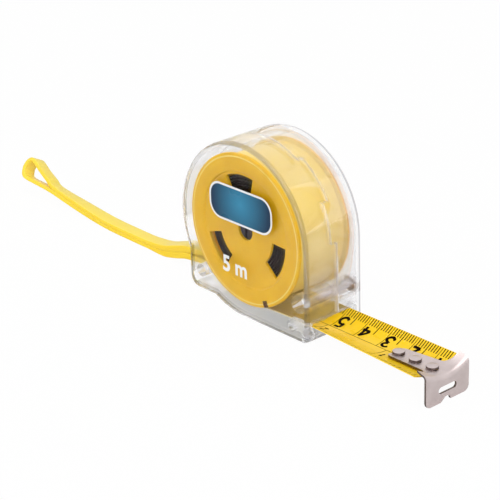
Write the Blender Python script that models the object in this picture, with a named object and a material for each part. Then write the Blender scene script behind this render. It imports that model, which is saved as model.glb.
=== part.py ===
# Pocket steel tape in a clear two-half case, with its blade partly out and its wrist strap behind.
# Built in the case's own frame: X towards the blade's end, Y from the label side to the screw side, Z up from the
# case's flat bottom. The stance at the end tips the whole tape back until it rests on its hook and its round bottom.

import math

import bmesh
import bpy
import numpy as np
from mathutils import Vector

# Case
CASE_RADIUS = 0.0292
CASE_EDGE = 0.0018
CASE_WALL = 0.0013
RIM_WALL = 0.0016
FRONT_CORNER = 0.0014
HEEL_SETBACK = 0.0030
HEEL_BOTTOM = 0.0034
HEEL_FILLET = 0.0045
PARTING_Y = -0.0010
PARTING_FRONT_Y = 0.0015
PARTING_FRONT_TOP = 0.0300
PARTING_SHOULDER_Y = 0.0012
PARTING_SHOULDER_LOW_TURN = math.radians(28)
PARTING_SHOULDER_HIGH_TURN = math.radians(57)
PARTING_LIP_Y = -0.0088
PARTING_GAP = 0.0003
BOSS_RADIUS = 0.0032
BOSS_SETBACK = 0.0046
BOSS_Z = 0.0120
HEEL_BOSS_RADIUS = 0.0022
HEEL_COLLAR_RADIUS = 0.0033
HEEL_COLLAR_HEIGHT = 0.0010
HEEL_BOSS_SETBACK = 0.0048
HEEL_BOSS_Z = 0.0092
MOUTH_SIDE_GAP = 0.0001
MOUTH_TOP = 0.0064
CHANNEL_CURVE = 0.90
JAMB_LENGTH = 0.0062
PEG_RADIUS = 0.0019
STRAP_SLOT_HALF = 0.0037
STRAP_SLOT_LOW = 0.0042
STRAP_SLOT_HIGH = 0.0150

# Fasteners
SCREW_RADIUS = 0.0011
SCREW_HEAD_RADIUS = 0.0025
SCREW_HEAD_HEIGHT = 0.0014
SCREW_RECESS = 0.0018
SCREW_LENGTH = 0.0150
CENTRE_SCREW_LENGTH = 0.0060
CENTRE_HEAD_HEIGHT = 0.0006
SPINDLE_RADIUS = 0.0030
SPINDLE_SLOT = 0.0010

# Reel
REEL_RIM_GAP = 0.0022
FLANGE_THICKNESS = 0.00095
RUNNING_GAP = 0.0003
FLANGE_DEPTH = 0.0056
DRUM_WALL = 0.0011
COVER_RECESS = 0.0005
COVER_RECESS_STEP = 0.0006
WINDOW_RIM = 0.0014
WINDOW_LENGTH = 0.0062
WINDOW_HALF_ANGLE = math.radians(19)
WINDOW_FIRST_ANGLE = math.radians(97)
WINDOW_COUNT = 3
COIL_DEPTH = 0.00255
WRAP_THICKNESS = 0.00035
WRAP_GAP = 0.00045
WRAP_TURNS = 1.5
SPRING_THICKNESS = 0.0005
SPRING_TURNS = 12

# Blade
BLADE_WIDTH = 0.0190
BLADE_SIDE_GAP = 0.00035
BLADE_THICKNESS = 0.0003
BLADE_SAG = 0.0032
BLADE_LOW = 0.00145
BLADE_END_SAG = 0.0019
BLADE_OUT = 0.0428
BLADE_SEAM = 0.0040
BLADE_TAIL = 0.0070
BLADE_TAIL_SAG = 0.0015
BLADE_FLATTEN = 0.0130
LEAD_LENGTH = 0.0064
LEAD_SAG = 0.0011
LEAD_DROP = 0.0004

# Hook
HOOK_THICKNESS = 0.0007
HOOK_GAP = 0.00015
HOOK_INSET = 0.0002
TONGUE_HALF = 0.0042
TONGUE_FLARE = 0.0030
TONGUE_LENGTH = 0.0168
HOOK_REACH = 0.0040
HOOK_BEND = 0.0009
HOOK_DROP = 0.00765
HOOK_CORNER = 0.0020
HOOK_PLAY = 0.0009
HOOK_SLOT_HALF = 0.0039
HOOK_SLOT_RADIUS = 0.0011
HOOK_SLOT_DEPTH = 0.00355
HOOK_NOTCH_ACROSS = (0.0015, 0.0010, 0.0003, -0.0010, -0.0022, -0.0033)
HOOK_NOTCH_UP = (-0.0003, 0.0010, 0.0015, 0.0014, 0.0005, -0.0003)
RIVET_COUNT = 3
RIVET_PITCH = 0.0069
RIVET_SETBACK = 0.0015
RIVET_RADIUS = 0.0010
RIVET_HEAD_RADIUS = 0.0019
RIVET_TAIL_RADIUS = 0.0016
RIVET_HEAD_HEIGHT = 0.0006
RIVET_HOLE_GAP = 0.0002

# Strap
STRAP_WIDTH = 0.0054
STRAP_THICKNESS = 0.0012
STRAP_BOSS_GAP = 0.0003
STRAP_GAP = 0.0007
STRAP_YAW = math.radians(4.4)
STRAP_CLOSE = 0.0160
STRAP_CLOSE_SHARE = 0.67
STRAP_DIP = 0.0283
STRAP_LIFT = 0.0635
STRAP_OPEN = 0.0893
STRAP_LEAN_START = 0.0736
STRAP_REACH = 0.1013
STRAP_EYE_RISE = 0.0070
STRAP_EYE_HALF = 0.0035
STRAP_LEAN = math.radians(64)

# Places worked out from the sizes above
BLADE_HALF = BLADE_WIDTH / 2
FLANGE_IN = BLADE_HALF + BLADE_SIDE_GAP
FLANGE_OUT = FLANGE_IN + FLANGE_THICKNESS
INSIDE = FLANGE_OUT + RUNNING_GAP
HALF = INSIDE + CASE_WALL
MOUTH_HALF = BLADE_HALF + MOUTH_SIDE_GAP
HOOK_HALF = BLADE_HALF - HOOK_INSET
AXIS_Z = CASE_RADIUS
CASE_FRONT = CASE_RADIUS
HEEL_BACK = CASE_RADIUS - HEEL_SETBACK
BOSS_X = CASE_FRONT - BOSS_SETBACK
HEEL_BOSS_X = -HEEL_BACK + HEEL_BOSS_SETBACK
REEL_RADIUS = CASE_RADIUS - RIM_WALL - REEL_RIM_GAP
DRUM_RADIUS = REEL_RADIUS - FLANGE_DEPTH
COVER_RECESS_RADIUS = DRUM_RADIUS - COVER_RECESS_STEP
WINDOW_OUTER = DRUM_RADIUS - WINDOW_RIM
WINDOW_INNER = WINDOW_OUTER - WINDOW_LENGTH
COIL_CORE_RADIUS = DRUM_RADIUS + COIL_DEPTH
BLADE_END = CASE_FRONT + BLADE_OUT
BLADE_EDGE = BLADE_LOW + BLADE_SAG
WRAP_PITCH = WRAP_THICKNESS + WRAP_GAP
WRAP_START = COIL_CORE_RADIUS + RUNNING_GAP
WRAP_END = WRAP_START + WRAP_THICKNESS + WRAP_PITCH * WRAP_TURNS
SPRING_INNER = SPINDLE_RADIUS + RUNNING_GAP
SPRING_OUTER = DRUM_RADIUS - DRUM_WALL - RUNNING_GAP - SPRING_THICKNESS
TONGUE_TIP = BLADE_END - TONGUE_LENGTH
TAB_IN = BLADE_END + HOOK_REACH
HOOK_SHELF = BLADE_LOW + BLADE_THICKNESS + HOOK_GAP
TAB_LOW = HOOK_SHELF - HOOK_DROP
ARC_STEPS = 48


def material(name, colour, roughness, metallic=0.0, clear=0.0):
    made = bpy.data.materials.new(name)
    made.use_nodes = True
    shader = made.node_tree.nodes["Principled BSDF"]
    shader.inputs["Base Color"].default_value = (*colour, 1)
    shader.inputs["Roughness"].default_value = roughness
    shader.inputs["Metallic"].default_value = metallic
    shader.inputs["Transmission Weight"].default_value = clear
    made.diffuse_color = (*colour, 1)
    return made


def add_mesh(name, points, faces, look=None):
    mesh = bpy.data.meshes.new(name)
    mesh.from_pydata([tuple(map(float, point)) for point in points], [], faces)
    work = bmesh.new()
    work.from_mesh(mesh)
    bmesh.ops.recalc_face_normals(work, faces=work.faces)
    work.to_mesh(mesh)
    work.free()
    made = bpy.data.objects.new(name, mesh)
    if look:
        mesh.materials.append(look)
        bpy.context.scene.collection.objects.link(made)
    else:
        TOOLS.objects.link(made)
        made.hide_render = True
        made.display_type = "WIRE"
    return made


# A skin through rings of points: capped at both ends, or with its last ring joined to its first.
def loft(name, rings, look=None, closed=False):
    size = len(rings[0])
    points = [point for ring in rings for point in ring]
    faces = []
    for first in range(len(rings) - (not closed)):
        a, b = first * size, (first + 1) % len(rings) * size
        for side in range(size):
            after = (side + 1) % size
            faces.append((a + side, a + after, b + after, b + side))
    if not closed:
        faces.append(tuple(range(size)))
        faces.append(tuple(range(len(points) - size, len(points))))
    return add_mesh(name, points, faces, look)


def circle(x, z, radius, y, steps):
    turns = [2 * math.pi * step / steps for step in range(steps)]
    return [(x + radius * math.cos(turn), y, z + radius * math.sin(turn)) for turn in turns]


# A turned piece along Y through (x, z): stations are (radius, y) from one end to the other.
def turned(name, x, z, stations, look=None, steps=32, closed=False):
    return loft(name, [circle(x, z, radius, y, steps) for radius, y in stations], look, closed)


# A turned piece along Z through (x, y = 0), with stations (radius, z).
def turned_up(name, x, stations, look=None, steps=20):
    rings = []
    for radius, z in stations:
        turns = [2 * math.pi * step / steps for step in range(steps)]
        rings.append([(x + radius * math.cos(turn), radius * math.sin(turn), z) for turn in turns])
    return loft(name, rings, look)


def box(name, low, high):
    (x0, y0, z0), (x1, y1, z1) = low, high
    rings = [[(x0, y, z0), (x1, y, z0), (x1, y, z1), (x0, y, z1)] for y in (y0, y1)]
    return loft(name, rings)


def boolean(target, tool, operation):
    modifier = target.modifiers.new(tool.name, "BOOLEAN")
    modifier.operation = operation
    modifier.solver = "EXACT"
    modifier.object = tool


def cut(target, *tools):
    for tool in tools:
        boolean(target, tool, "DIFFERENCE")


def fuse(target, *tools):
    for tool in tools:
        boolean(target, tool, "UNION")


def arc(centre, radius, start, end, steps):
    turns = np.linspace(start, end, steps + 1)
    return [(centre[0] + radius * math.cos(turn), centre[1] + radius * math.sin(turn)) for turn in turns]


# The case's outline in X and Z, moved inwards by inset: flat bottom and front, round top and back, and a heel.
def case_outline(inset):
    radius = CASE_RADIUS - inset
    front, bottom = CASE_FRONT - inset, inset
    back, heel = -HEEL_BACK + inset, HEEL_BOTTOM + inset
    corner = max(FRONT_CORNER - inset, 0.00005)
    fillet = max(HEEL_FILLET - inset, 0.0002)
    low = math.asin((heel - AXIS_Z) / radius)
    rear = math.acos(back / radius)
    outline = arc((front - corner, bottom + corner), corner, 0, -math.pi / 2, 3)
    outline += arc((0, AXIS_Z), radius, -math.pi / 2, -math.pi - low, 8)
    outline += arc((back + fillet, heel + fillet), fillet, -math.pi / 2, -math.pi, 5)
    outline += arc((0, AXIS_Z), radius, -rear, -2 * math.pi, ARC_STEPS * 5 // 8)
    return outline


def case_blank(name, look):
    rings = []
    for turn in np.linspace(0, math.pi / 2, 4):
        inset = CASE_EDGE * (1 - math.sin(turn))
        depth = HALF - CASE_EDGE * (1 - math.cos(turn))
        rings.append([(x, -depth, z) for x, z in case_outline(inset)])
    rings += [[(x, -y, z) for x, y, z in ring] for ring in reversed(rings)]
    blank = loft(name, rings, look)
    hollow = loft(name + "_hollow", [[(x, y, z) for x, z in case_outline(RIM_WALL)] for y in (-INSIDE, INSIDE)])
    cut(blank, hollow)
    return blank


# The near half's share of the case: past the parting plane at the shoulder and above the mouth, and short of it in the lip below.
def near_share(name, grow):
    far = 2 * CASE_RADIUS
    share = box(name, (-far, -far, -far), (far, PARTING_Y + grow, 2 * far))
    tongue = box(
        name + "_tongue",
        (CASE_FRONT / 2 - grow, -far / 2, MOUTH_TOP - 0.001 - grow),
        (far / 1.5, PARTING_FRONT_Y + grow, PARTING_FRONT_TOP + grow),
    )
    shoulder = box(
        name + "_shoulder",
        (CASE_FRONT / 4, -far / 2, AXIS_Z + CASE_RADIUS * math.sin(PARTING_SHOULDER_LOW_TURN) - grow),
        (far / 1.5, PARTING_SHOULDER_Y + grow, AXIS_Z + CASE_RADIUS * math.sin(PARTING_SHOULDER_HIGH_TURN) + grow),
    )
    lip = box(
        name + "_lip",
        (CASE_FRONT - RIM_WALL - 0.004 + grow, PARTING_LIP_Y + grow, -far / 2),
        (far / 2, far / 2, MOUTH_TOP - 0.002 - grow),
    )
    fuse(share, tongue, shoulder)
    cut(share, lip)
    return share


def blade_half(sag):
    return (BLADE_WIDTH - 8 * sag**2 / (3 * BLADE_WIDTH)) / 2


# Outside the mouth the near half of the blade flattens little by little to its end.
def near_sag(x):
    share = min(max((x - CASE_FRONT) / (BLADE_END - CASE_FRONT), 0), 1)
    return BLADE_SAG + (BLADE_END_SAG - BLADE_SAG) * share


def strip_ring(x, low, sag, thickness, steps=12):
    near = min(sag, near_sag(x))
    across = [(share * blade_half(near if share < 0 else sag), near if share < 0 else sag, share)
              for share in np.linspace(-1, 1, steps + 1)]
    under = [(x, y, low + bent * share**2) for y, bent, share in across]
    over = [(x, y, z + thickness) for x, y, z in under]
    return under + over[::-1]


def blade_channel(name):
    half = MOUTH_HALF
    across = np.linspace(-half, half, 13)
    drop = BLADE_LOW - 0.0009
    curve = BLADE_SAG / blade_half(BLADE_SAG) ** 2
    rings = []
    for x in (BLADE_TAIL - 0.003, CASE_FRONT + 0.003):
        floor = [(x, y, drop + curve * y**2 * CHANNEL_CURVE) for y in across]
        rings.append(floor + [(x, half, MOUTH_TOP), (x, -half, MOUTH_TOP)])
    return loft(name, rings)


def screw_holes(centre_x, centre_z):
    near = turned("pilot_hole", centre_x, centre_z, [(SCREW_RADIUS + 0.0001, y) for y in (-0.0085, HALF)], steps=20)
    far = turned("screw_hole", centre_x, centre_z, [(SCREW_RADIUS + 0.0002, y) for y in (-0.0085, HALF + 0.001)], steps=20)
    seat = HALF - SCREW_RECESS
    head = turned("head_recess", centre_x, centre_z, [(SCREW_HEAD_RADIUS + 0.0002, y) for y in (seat, HALF + 0.001)])
    return near, far, head


def boss(name, x, z, radius, low, high):
    return turned(name, x, z, [(radius, low), (radius, high)], steps=28)


# The way out for the strap in the back of the heel, with room for its turn under the boss.
def strap_slot(label):
    back, half = -HEEL_BACK + RIM_WALL + 0.001, STRAP_SLOT_HALF
    way = box(label + "_strap_slot", (-2 * HEEL_BACK, -half, STRAP_SLOT_LOW), (back, half, STRAP_SLOT_HIGH))
    front, top = HEEL_BOSS_X + HEEL_BOSS_RADIUS + STRAP_THICKNESS, HEEL_BOSS_Z - HEEL_BOSS_RADIUS - STRAP_BOSS_GAP
    relief = box(label + "_strap_relief", (back - 0.001, -half, STRAP_SLOT_LOW), (front, half, top))
    return way, relief


def build_case(clear):
    near = case_blank("case_near", clear)
    far = case_blank("case_far", clear)
    boolean(near, near_share("near_share", 0), "INTERSECT")
    cut(far, near_share("far_share", PARTING_GAP))
    root = INSIDE + CASE_WALL / 2
    fuse(near, boss("near_boss", BOSS_X, BOSS_Z, BOSS_RADIUS, -root, PARTING_FRONT_Y))
    fuse(far, boss("far_boss", BOSS_X, BOSS_Z, BOSS_RADIUS, PARTING_FRONT_Y + PARTING_GAP, root))
    fuse(near, boss("near_heel_boss", HEEL_BOSS_X, HEEL_BOSS_Z, HEEL_BOSS_RADIUS, -root, PARTING_Y))
    fuse(far, boss("far_heel_boss", HEEL_BOSS_X, HEEL_BOSS_Z, HEEL_BOSS_RADIUS, PARTING_Y + PARTING_GAP, root))
    collar = HALF - SCREW_RECESS - HEEL_COLLAR_HEIGHT
    fuse(far, boss("far_heel_collar", HEEL_BOSS_X, HEEL_BOSS_Z, HEEL_COLLAR_RADIUS, collar, root))
    jamb_back = CASE_FRONT - RIM_WALL - JAMB_LENGTH
    jamb_front = CASE_FRONT - RIM_WALL / 2
    for half, side, label in ((near, -1, "near"), (far, 1, "far")):
        low, high = sorted((side * root, side * (MOUTH_HALF + 0.0002)))
        fuse(half, box(label + "_jamb", (jamb_back, low, RIM_WALL / 2), (jamb_front, high, MOUTH_TOP)))
        fuse(half, boss(label + "_peg", jamb_back, MOUTH_TOP * 0.6, PEG_RADIUS, low, high))
        cut(half, blade_channel(label + "_channel"))
        cut(half, *strap_slot(label))
    for x, z in ((BOSS_X, BOSS_Z), (HEEL_BOSS_X, HEEL_BOSS_Z)):
        pilot, hole, head = screw_holes(x, z)
        cut(near, pilot)
        cut(far, hole, head)
    cut(far, turned("centre_hole", 0, AXIS_Z, [(SCREW_RADIUS + 0.0002, y) for y in (INSIDE - 0.001, HALF + 0.001)], steps=20))
    seat = HALF - CENTRE_HEAD_HEIGHT - 0.0001
    cut(far, turned("centre_recess", 0, AXIS_Z, [(SCREW_HEAD_RADIUS + 0.0002, y) for y in (seat, HALF + 0.001)]))


def screw(name, x, z, top, height, length, steel):
    seat = top - height
    stations = [
        (SCREW_RADIUS * 0.55, seat - length),
        (SCREW_RADIUS, seat - length + SCREW_RADIUS),
        (SCREW_RADIUS, seat),
        (SCREW_HEAD_RADIUS, seat),
        (SCREW_HEAD_RADIUS, top - height * 0.35),
        (SCREW_HEAD_RADIUS * 0.8, top),
    ]
    made = turned(name, x, z, stations, steel, steps=20)
    reach, width, depth = SCREW_HEAD_RADIUS * 0.6, SCREW_HEAD_RADIUS * 0.11, height * 0.45
    for label, across, along in (("_a", reach, width), ("_b", width, reach)):
        cut(made, box(name + label, (x - across, top - depth, z - along), (x + across, top + height, z + along)))
    return made


def build_fasteners(steel, dark):
    seat = HALF - SCREW_RECESS + SCREW_HEAD_HEIGHT + 0.0001
    screw("screw_front", BOSS_X, BOSS_Z, seat, SCREW_HEAD_HEIGHT, SCREW_LENGTH, steel)
    screw("screw_heel", HEEL_BOSS_X, HEEL_BOSS_Z, seat, SCREW_HEAD_HEIGHT, SCREW_LENGTH, steel)
    screw("screw_centre", 0, AXIS_Z, HALF, CENTRE_HEAD_HEIGHT, CENTRE_SCREW_LENGTH, steel)
    foot, tip = INSIDE - 0.0001, -FLANGE_IN - 0.0001
    stations = [(SPINDLE_RADIUS * 0.85, tip), (SPINDLE_RADIUS, tip + 0.0005), (SPINDLE_RADIUS, foot)]
    spindle = turned("spindle", 0, AXIS_Z, stations, dark, steps=28)
    half = SPINDLE_SLOT / 2
    slot_end = FLANGE_IN - CENTRE_SCREW_LENGTH
    cut(spindle, box("spindle_slot", (-half, -HALF, 0), (half, slot_end, 2 * AXIS_Z)))
    hole = CENTRE_SCREW_LENGTH - CASE_WALL + CENTRE_HEAD_HEIGHT + 0.0004
    cut(spindle, turned("spindle_hole", 0, AXIS_Z, [(SCREW_RADIUS + 0.0001, y) for y in (INSIDE - hole, HALF)], steps=20))


def window(name, middle):
    rings = []
    for y in (-HALF, 0):
        ring = []
        for radius, way in ((WINDOW_INNER, 1), (WINDOW_OUTER, -1)):
            for turn in np.linspace(-way * WINDOW_HALF_ANGLE, way * WINDOW_HALF_ANGLE, 9):
                ring.append((radius * math.cos(middle + turn), y, AXIS_Z + radius * math.sin(middle + turn)))
        rings.append(ring)
    return loft(name, rings)


def build_reel(yellow, far_yellow):
    hub = SPINDLE_RADIUS + RUNNING_GAP
    drum_in, drum_end = DRUM_RADIUS - DRUM_WALL, -FLANGE_IN + COVER_RECESS + RUNNING_GAP
    drum = [
        (hub, FLANGE_OUT),
        (REEL_RADIUS, FLANGE_OUT),
        (REEL_RADIUS, FLANGE_IN),
        (DRUM_RADIUS, FLANGE_IN),
        (DRUM_RADIUS, drum_end),
        (drum_in, drum_end),
        (drum_in, FLANGE_IN),
        (hub, FLANGE_IN),
    ]
    turned("reel_drum", 0, AXIS_Z, drum, far_yellow, steps=72, closed=True)
    lip = FLANGE_OUT - COVER_RECESS
    cover = [
        (hub, -lip),
        (COVER_RECESS_RADIUS, -lip),
        (COVER_RECESS_RADIUS + COVER_RECESS, -FLANGE_OUT),
        (REEL_RADIUS, -FLANGE_OUT),
        (REEL_RADIUS, -FLANGE_IN),
        (DRUM_RADIUS + RUNNING_GAP, -FLANGE_IN),
        (COVER_RECESS_RADIUS, -FLANGE_IN + COVER_RECESS),
        (hub, -FLANGE_IN + COVER_RECESS),
    ]
    made = turned("reel_cover", 0, AXIS_Z, cover, yellow, steps=72, closed=True)
    for number in range(WINDOW_COUNT):
        middle = WINDOW_FIRST_ANGLE + 2 * math.pi * number / WINDOW_COUNT
        cut(made, window("window_%d" % (number + 1), middle))


# A strip on edge, wound about the reel's axis through points (radius, turn), with its faces along Y.
def wound_strip(name, points, thickness, low, high, look):
    path = [Vector((radius * math.cos(turn), 0, AXIS_Z + radius * math.sin(turn))) for radius, turn in points]
    rings = []
    for number, point in enumerate(path):
        along = (path[min(number + 1, len(path) - 1)] - path[max(number - 1, 0)]).normalized()
        side = Vector((along.z, 0, -along.x)) * thickness / 2
        rings.append([point + side + Vector((0, y, 0)) for y in (low, high)] + [point - side + Vector((0, y, 0)) for y in (high, low)])
    return loft(name, rings, look)


def spiral(inner, outer, turns, end_turn, per_turn):
    steps = round(turns * per_turn)
    shares = [step / steps for step in range(steps + 1)]
    return [(inner + (outer - inner) * share, end_turn - 2 * math.pi * turns * (1 - share)) for share in shares]


def least_gap(points, thickness, per_turn):
    path = np.array([(radius * math.cos(turn), radius * math.sin(turn)) for radius, turn in points])
    gaps = np.linalg.norm(path[:, None] - path[None], axis=2)
    numbers = np.arange(len(path))
    apart = abs(numbers[:, None] - numbers[None]) > per_turn // 2
    return gaps[apart].min() - thickness


def build_wound(blade_yellow, spring_steel):
    core = [(DRUM_RADIUS + RUNNING_GAP, -BLADE_HALF), (COIL_CORE_RADIUS, -BLADE_HALF)]
    core += [(radius, -y) for radius, y in reversed(core)]
    turned("blade_core", 0, AXIS_Z, core, blade_yellow, steps=72, closed=True)
    middle = WRAP_THICKNESS / 2
    wrap = spiral(WRAP_START + middle, WRAP_END - middle, WRAP_TURNS, -math.pi / 2, 48)
    wound_strip("blade_wrap", wrap, WRAP_THICKNESS, -BLADE_HALF, BLADE_HALF, blade_yellow)
    print("least gap in the blade's outer layer: %.2f mm" % (1000 * least_gap(wrap, WRAP_THICKNESS, 48)))
    middle = SPRING_THICKNESS / 2
    curls = spiral(SPRING_INNER + middle, SPRING_OUTER + middle, SPRING_TURNS, math.radians(250), 24)
    print("least gap in the power spring: %.2f mm" % (1000 * least_gap(curls, SPRING_THICKNESS, 24)))
    low, high = -FLANGE_IN + COVER_RECESS + 2 * RUNNING_GAP, FLANGE_IN - 2 * RUNNING_GAP
    wound_strip("power_spring", curls, SPRING_THICKNESS, low, high, spring_steel)


def build_blade(blade_yellow, steel):
    seam = CASE_FRONT - BLADE_SEAM
    rings = []
    for x in np.linspace(BLADE_TAIL, BLADE_TAIL + BLADE_FLATTEN, 7):
        share = (x - BLADE_TAIL) / BLADE_FLATTEN
        sag = BLADE_TAIL_SAG + (BLADE_SAG - BLADE_TAIL_SAG) * math.sin(share * math.pi / 2)
        rings.append(strip_ring(x, BLADE_EDGE - sag, sag, BLADE_THICKNESS))
    rings.append(strip_ring(seam - HOOK_GAP, BLADE_LOW, BLADE_SAG, BLADE_THICKNESS))
    loft("blade_tail", rings, blade_yellow)
    stations = np.linspace(seam, BLADE_END, 9)
    blade = loft("blade", [strip_ring(x, BLADE_LOW, BLADE_SAG, BLADE_THICKNESS) for x in stations], blade_yellow)
    for number in range(RIVET_COUNT):
        x = rivet_x(number)
        foot, seat = BLADE_LOW - 0.00015, HOOK_SHELF + HOOK_THICKNESS + HOOK_GAP
        dome = [
            (RIVET_HEAD_RADIUS * math.cos(turn), seat + RIVET_HEAD_HEIGHT * math.sin(turn))
            for turn in np.linspace(0, math.radians(72), 5)
        ]
        tail_head = [(RIVET_TAIL_RADIUS, foot - 0.0004), (RIVET_TAIL_RADIUS, foot)]
        stations = tail_head + [(RIVET_RADIUS, foot), (RIVET_RADIUS, seat)] + dome
        turned_up("hook_rivet_%d" % (number + 1), x, stations, steel)
        hole = RIVET_RADIUS + RIVET_HOLE_GAP
        cut(blade, turned_up("blade_hole_%d" % (number + 1), x, [(hole, -HALF), (hole, HALF)]))

    lead = []
    start = AXIS_Z - WRAP_END
    for share in np.linspace(0, 1, 7):
        x = RUNNING_GAP + LEAD_LENGTH * share
        lead.append(strip_ring(x, start - LEAD_DROP * share - LEAD_SAG * share, LEAD_SAG * share, WRAP_THICKNESS))
    loft("blade_lead", lead, blade_yellow)


def rivet_x(number):
    return BLADE_END - RIVET_SETBACK - RIVET_PITCH * (RIVET_COUNT - 1 - number)


# The hook's inner line in X and Z with its half width and how much of the blade's curve it keeps.
def hook_stations():
    shelf = TAB_IN - HOOK_BEND
    stations = []
    for turn in np.linspace(math.pi / 2, 0, 5):
        x = TONGUE_TIP + TONGUE_HALF * 0.5 * (1 - math.sin(turn))
        stations.append((x, HOOK_SHELF, TONGUE_HALF * (0.55 + 0.45 * math.cos(turn)), 1))
    root = BLADE_END + HOOK_PLAY + HOOK_GAP
    stations.append((rivet_x(1), HOOK_SHELF, TONGUE_HALF, 1))
    for turn in np.linspace(0, math.pi / 2, 6):
        x = root - TONGUE_FLARE * (1 - math.sin(turn))
        stations.append((x, HOOK_SHELF, TONGUE_HALF + (HOOK_HALF - TONGUE_HALF) * (1 - math.cos(turn)), 1))
    for x, z in arc((shelf, HOOK_SHELF - HOOK_BEND), HOOK_BEND, math.pi / 2, 0, 5):
        stations.append((x, z, HOOK_HALF, 1))
    for turn in np.linspace(0, math.pi / 2, 6):
        stations.append(
            (TAB_IN, TAB_LOW + HOOK_CORNER * (1 - math.sin(turn)), HOOK_HALF - HOOK_CORNER * (1 - math.cos(turn)), 0)
        )
    return stations


def build_hook(steel):
    stations = hook_stations()
    rings = []
    curve = BLADE_SAG / blade_half(BLADE_SAG) ** 2
    for number, (x, z, half, crown) in enumerate(stations):
        before, after = stations[max(number - 1, 0)], stations[min(number + 1, len(stations) - 1)]
        along = Vector((after[0] - before[0], 0, after[1] - before[1])).normalized()
        out = Vector((-along.z, 0, along.x))
        across = np.linspace(-half, half, 11)
        inner = [Vector((x, y, z + crown * curve * y**2)) for y in across]
        rings.append(inner + [point + out * HOOK_THICKNESS for point in reversed(inner)])
    hook = loft("hook", rings, steel)
    hole = RIVET_RADIUS + RIVET_HOLE_GAP
    for number in range(RIVET_COUNT):
        x = rivet_x(number)
        ends = [(x + HOOK_PLAY, -math.pi / 2), (x, math.pi / 2)]
        ring = [
            (centre + hole * math.cos(first + turn), hole * math.sin(first + turn))
            for centre, first in ends
            for turn in np.linspace(0, math.pi, 9)
        ]
        cut(hook, loft("hook_hole_%d" % (number + 1), [[(u, v, z) for u, v in ring] for z in (0, HALF)]))
    slot_z = HOOK_SHELF - HOOK_SLOT_DEPTH
    straight = HOOK_SLOT_HALF - HOOK_SLOT_RADIUS
    ring = [
        (side * straight + HOOK_SLOT_RADIUS * math.sin(first + turn), slot_z + HOOK_SLOT_RADIUS * math.cos(first + turn))
        for side, first in ((1, 0), (-1, math.pi))
        for turn in np.linspace(0, math.pi, 9)
    ]
    x0, x1 = TAB_IN - HOOK_BEND, TAB_IN + 2 * HOOK_THICKNESS
    cut(hook, loft("tab_slot", [[(x, y, z) for y, z in ring] for x in (x0, x1)]))
    notch = [(y, TAB_LOW + z) for y, z in zip(HOOK_NOTCH_ACROSS, HOOK_NOTCH_UP)]
    cut(hook, loft("tab_notch", [[(x, y, z) for y, z in notch] for x in (x0, x1)]))


# How far the tape tips back: the floor touches the round bottom and the hook's lower edge.
def stance_tilt():
    reach, height = TAB_IN + HOOK_THICKNESS, AXIS_Z - TAB_LOW
    return math.acos(CASE_RADIUS / math.hypot(reach, height)) - math.atan2(reach, height)


def in_stance(x, z):
    tilt = stance_tilt()
    lift = CASE_RADIUS - AXIS_Z * math.cos(tilt)
    return x * math.cos(tilt) - z * math.sin(tilt), x * math.sin(tilt) + z * math.cos(tilt) + lift


# The strap's two strands behind the boss: distance back, height of the middle between them, and half their spread.
def strap_stations():
    hub_z = in_stance(HEEL_BOSS_X, HEEL_BOSS_Z)[1]
    turn_radius = HEEL_BOSS_RADIUS + STRAP_BOSS_GAP + STRAP_THICKNESS / 2
    pair = (STRAP_THICKNESS + STRAP_GAP) / 2
    rest = STRAP_THICKNESS + STRAP_GAP / 2
    closing = hub_z * STRAP_CLOSE_SHARE
    return [
        (0, hub_z, turn_radius),
        (STRAP_CLOSE / 2, (hub_z + closing) / 2, (turn_radius + pair) / 2),
        (STRAP_CLOSE, closing, pair * 1.1),
        ((STRAP_CLOSE + STRAP_DIP) / 2, closing * 0.45 + rest * 0.55, pair),
        (STRAP_DIP, rest * 1.1, pair),
        ((STRAP_DIP + STRAP_LIFT) / 2, rest, pair),
        (STRAP_LIFT, rest * 1.1, pair),
        ((STRAP_LIFT + STRAP_OPEN) / 2, rest + STRAP_EYE_RISE * 0.3, pair),
        (STRAP_OPEN, rest + STRAP_EYE_RISE * 0.7, pair * 1.1),
        (STRAP_REACH - 2.4 * STRAP_EYE_HALF, rest + STRAP_EYE_RISE * 0.93, STRAP_EYE_HALF * 0.82),
    ]


# The strap's loop: s runs back from the boss and z up from the floor.
def strap_route():
    stations = strap_stations()
    hub_z, turn_radius = stations[0][1:]
    eye = STRAP_THICKNESS + STRAP_GAP / 2 + STRAP_EYE_RISE
    reach = STRAP_REACH - STRAP_EYE_HALF - STRAP_THICKNESS / 2
    tip = [
        (reach + STRAP_EYE_HALF * math.sin(turn), eye + STRAP_EYE_HALF * math.cos(turn))
        for turn in np.linspace(0, math.pi, 6)
    ]
    back = [
        (turn_radius * math.sin(turn), hub_z + turn_radius * math.cos(turn))
        for turn in np.linspace(math.pi, 2 * math.pi, 5)[1:-1]
    ]
    upper = [(s, middle + spread) for s, middle, spread in stations]
    lower = [(s, middle - spread) for s, middle, spread in reversed(stations)]
    return upper + tip + lower + back


def smooth_loop(points, per_span):
    made = []
    count = len(points)
    for number in range(count):
        p0, p1, p2, p3 = (np.array(points[(number + step) % count]) for step in (-1, 0, 1, 2))
        for share in np.arange(per_span) / per_span:
            made.append(
                0.5 * (2 * p1 + (p2 - p0) * share + (2 * p0 - 5 * p1 + 4 * p2 - p3) * share**2
                       + (3 * p1 - p0 - 3 * p2 + p3) * share**3)
            )
    return made


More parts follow.
